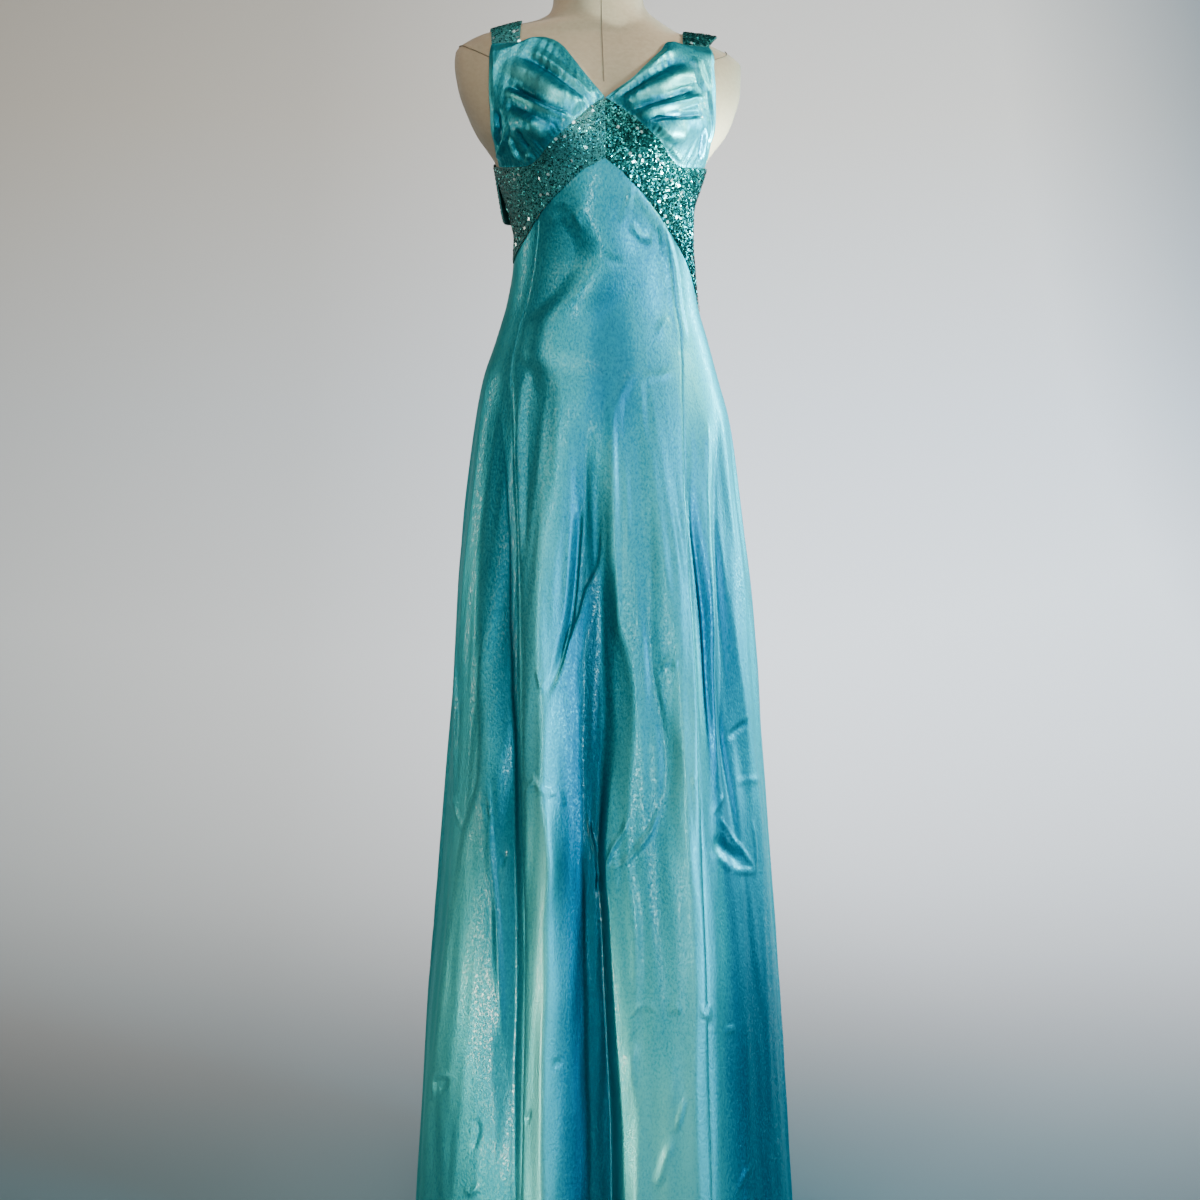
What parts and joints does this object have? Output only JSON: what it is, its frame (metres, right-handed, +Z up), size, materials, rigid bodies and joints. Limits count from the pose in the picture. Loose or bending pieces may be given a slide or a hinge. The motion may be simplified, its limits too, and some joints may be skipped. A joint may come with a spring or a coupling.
{
  "type": "evening gown on a dress form",
  "caption": "Satin empire-line evening gown with sequined straps and chevron midriff, worn on a limbless dress form with a pole and round foot.",
  "frame": {"origin": "on the floor under the axis of the pole, in the middle of the round foot's flat underside", "axes": "+Z up, -Y out of the gown's front, +X to the right of someone who looks at its front"},
  "size_m": [0.5018, 0.4783, 1.665],
  "materials": {
    "satin": "glossy satin, aqua",
    "sequins": "close-set teal sequins on cloth",
    "linen": "matt natural linen",
    "steel": "brushed"
  },
  "bodies": {
    "root": {"bodice_cup_left": "satin", "bodice_cup_right": "satin", "strap_left": "sequins", "strap_right": "sequins", "midriff_front_left": "sequins", "midriff_front_right": "sequins", "back_band_left": "sequins", "back_band_right": "sequins", "skirt_front": "satin", "skirt_side_left": "satin", "skirt_side_right": "satin", "skirt_back_left": "satin", "skirt_back_right": "satin", "form_torso": "linen", "form_pole": "steel", "form_socket": "steel", "form_base": "steel"}
  },
  "joints": []
}
